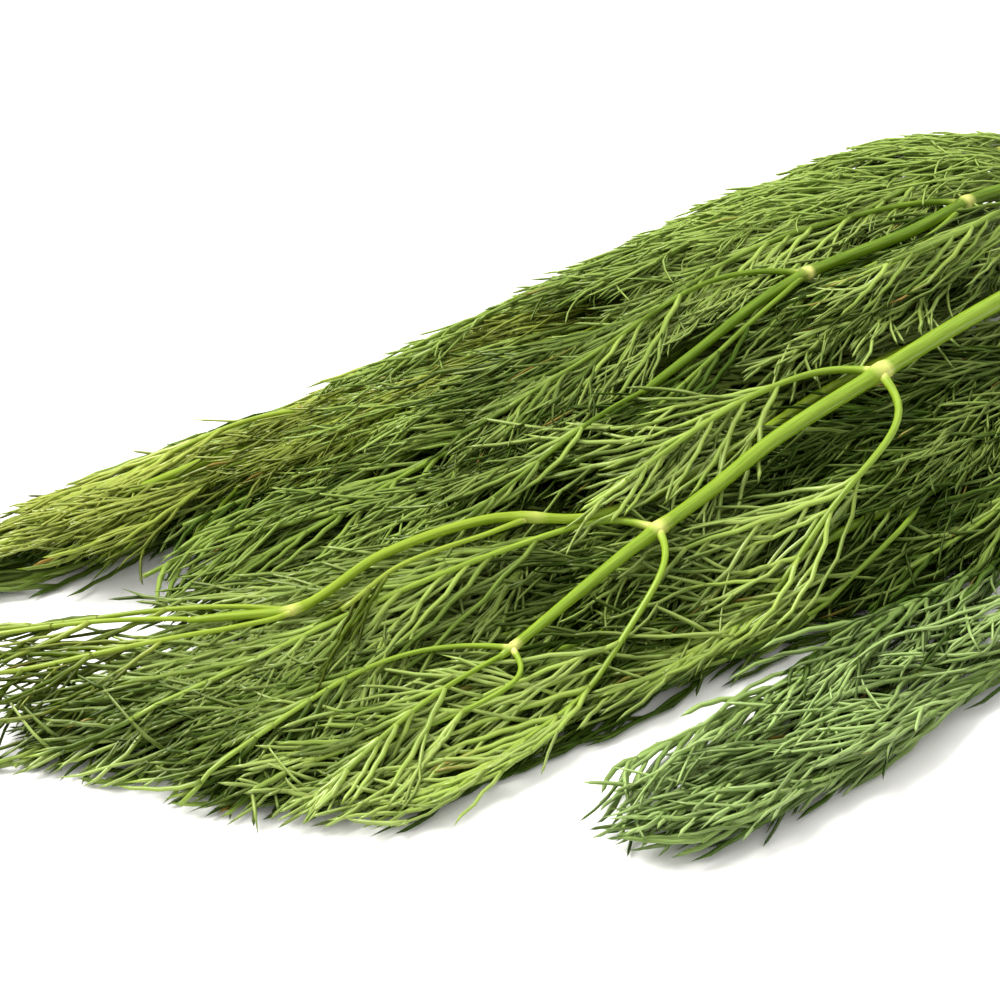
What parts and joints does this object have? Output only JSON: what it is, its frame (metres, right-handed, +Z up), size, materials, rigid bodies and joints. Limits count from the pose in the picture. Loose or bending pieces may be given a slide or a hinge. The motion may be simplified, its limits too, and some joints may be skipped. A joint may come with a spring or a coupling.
{
  "type": "dill bunch",
  "caption": "Bunch of cut dill lying in a loose heap: bare stems gathered at the cut ends fan out into feathery, thread-leaved fronds.",
  "frame": {"origin": "on the table, under the centre of the heap's bounding box", "axes": "+X along the stems towards their cut ends, +Y towards the far side of the heap, +Z up from the table"},
  "size_m": [0.3964, 0.1922, 0.0433],
  "materials": {
    "fresh_green": "soft satin skin of fresh green stems and leaves",
    "deep_green": "soft satin skin of darker green stems and leaves",
    "blue_green": "soft satin skin with a thin bluish bloom",
    "yellow_green": "soft satin skin of pale, yellowing stems and leaves"
  },
  "bodies": {
    "root": {"sprig_top": "fresh_green", "sprig_back": "fresh_green", "stalk_pale": "yellow_green", "sprig_far_top": "deep_green", "sprig_front": "blue_green", "sprig_near_cover": "deep_green", "sprig_middle_cover": "deep_green", "sprig_far_cover": "yellow_green", "sprig_near_inner": "deep_green", "sprig_far_edge": "deep_green", "sprig_middle_inner": "fresh_green", "sprig_near_low": "deep_green", "sprig_middle_low": "deep_green", "sprig_far_low": "deep_green"}
  },
  "joints": []
}
